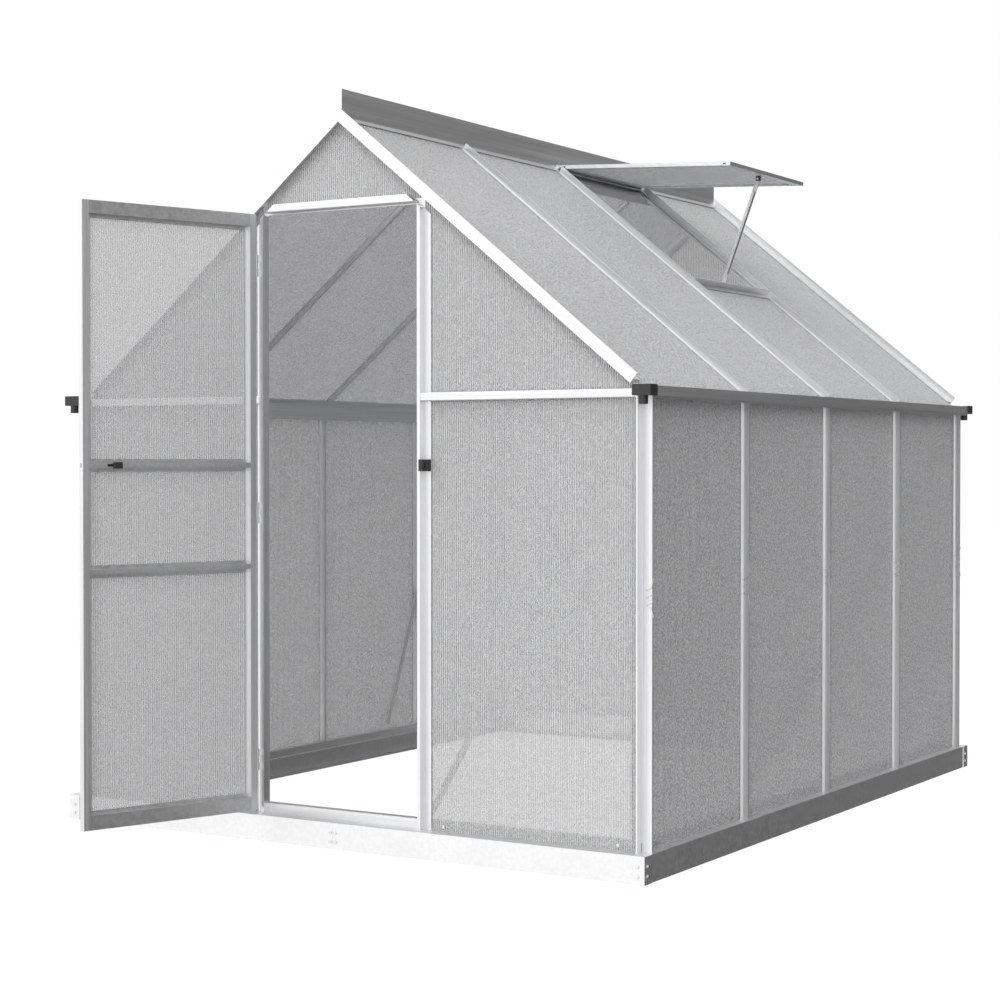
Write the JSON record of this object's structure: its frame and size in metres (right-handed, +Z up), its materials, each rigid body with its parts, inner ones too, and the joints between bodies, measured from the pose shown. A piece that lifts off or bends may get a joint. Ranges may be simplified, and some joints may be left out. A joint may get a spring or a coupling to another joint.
{
  "type": "greenhouse",
  "caption": "Walk-in gable greenhouse with an aluminium frame on a steel base, twin-wall glazing, a hinged door, a propped roof vent, and gutters with outlet spouts.",
  "frame": {"origin": "centre of the footprint on the ground", "axes": "+X to the right as seen from the doorway, +Y from the doorway to the back wall, +Z up"},
  "size_m": [2, 3.0239, 2.135],
  "materials": {
    "mill_aluminium": "satin extruded aluminium",
    "galvanised_steel": "folded galvanised sheet steel",
    "twin_wall_sheet": "ribbed twin-wall polycarbonate sheet, frosted",
    "black_plastic": "moulded black plastic",
    "zinc_fasteners": "zinc-plated"
  },
  "bodies": {
    "house": {"base_bolts": "zinc_fasteners", "base_corner_brackets": "galvanised_steel", "base_front_rails": "galvanised_steel", "base_rear_rails": "galvanised_steel", "base_side_rails": "galvanised_steel", "base_splice_plates": "galvanised_steel", "corner_posts_front": "mill_aluminium", "corner_posts_rear": "mill_aluminium", "door_bolt_keeper": "black_plastic", "door_header": "mill_aluminium", "door_hinge_pins": "zinc_fasteners", "door_jamb_hinges": "mill_aluminium", "door_jamb_left": "mill_aluminium", "door_jamb_right": "mill_aluminium", "end_sills": "mill_aluminium", "front_apex_sheet": "twin_wall_sheet", "front_gable_sheets": "twin_wall_sheet", "front_lower_sheets": "twin_wall_sheet", "front_mid_rails": "mill_aluminium", "glazing_clips": "zinc_fasteners", "gutter_end_caps": "black_plastic", "gutter_left": "mill_aluminium", "gutter_right": "mill_aluminium", "pane_screws": "zinc_fasteners", "rafters_front": "mill_aluminium", "rafters_rear": "mill_aluminium", "rear_gable_sheets": "twin_wall_sheet", "rear_lower_sheets": "twin_wall_sheet", "rear_mid_rails": "mill_aluminium", "rear_studs": "mill_aluminium", "ridge_beam": "mill_aluminium", "roof_bars_left": "mill_aluminium", "roof_bars_right": "mill_aluminium", "roof_sheets_left": "twin_wall_sheet", "roof_sheets_right": "twin_wall_sheet", "side_sheets_left": "twin_wall_sheet", "side_sheets_right": "twin_wall_sheet", "side_sills": "mill_aluminium", "vent_hinge_lugs": "mill_aluminium", "vent_sill": "mill_aluminium", "vent_stay_peg": "mill_aluminium", "wall_braces": "mill_aluminium", "wall_studs_left": "mill_aluminium", "wall_studs_right": "mill_aluminium"},
    "door": {"door_hinge_stile": "mill_aluminium", "door_lock_stile": "mill_aluminium", "door_top_rail": "mill_aluminium", "door_upper_mid_rail": "mill_aluminium", "door_lower_mid_rail": "mill_aluminium", "door_bottom_rail": "mill_aluminium", "door_sheets": "twin_wall_sheet", "door_hinge_knuckles": "mill_aluminium"},
    "door_bolt": {"door_slide_bolt": "black_plastic"},
    "roof_vent": {"vent_hinge_rail": "mill_aluminium", "vent_lower_rail": "mill_aluminium", "vent_side_rails": "mill_aluminium", "vent_sheet": "twin_wall_sheet", "vent_stay_brackets": "black_plastic", "vent_stay_pin": "zinc_fasteners"},
    "stay": {"vent_stay": "mill_aluminium"}
  },
  "joints": [
    {"name": "door_hinge", "type": "hinge", "parent": "house", "child": "door", "pos_m": [-0.279, -1.233, 0], "axis": [0, 0, 1], "range_deg": [-50, 109]},
    {"name": "door_bolt_slide", "type": "slide", "parent": "door", "child": "door_bolt", "axis": [-0.3256, -0.9455, 0], "range_m": [0, 0.022]},
    {"name": "vent_hinge", "type": "hinge", "parent": "house", "child": "roof_vent", "pos_m": [0.0119, 0.2975, 2.05954], "axis": [0, 1, 0], "range_deg": [0, 36]},
    {"name": "stay_pivot", "type": "hinge", "parent": "roof_vent", "child": "stay", "pos_m": [0.59759, 0.2975, 2.01276], "axis": [0, 1, 0], "range_deg": [-15, 0.5]}
  ],
  "couplings": [
    {"joint": "stay_pivot", "follows": "vent_hinge", "ratio": -0.4}
  ]
}
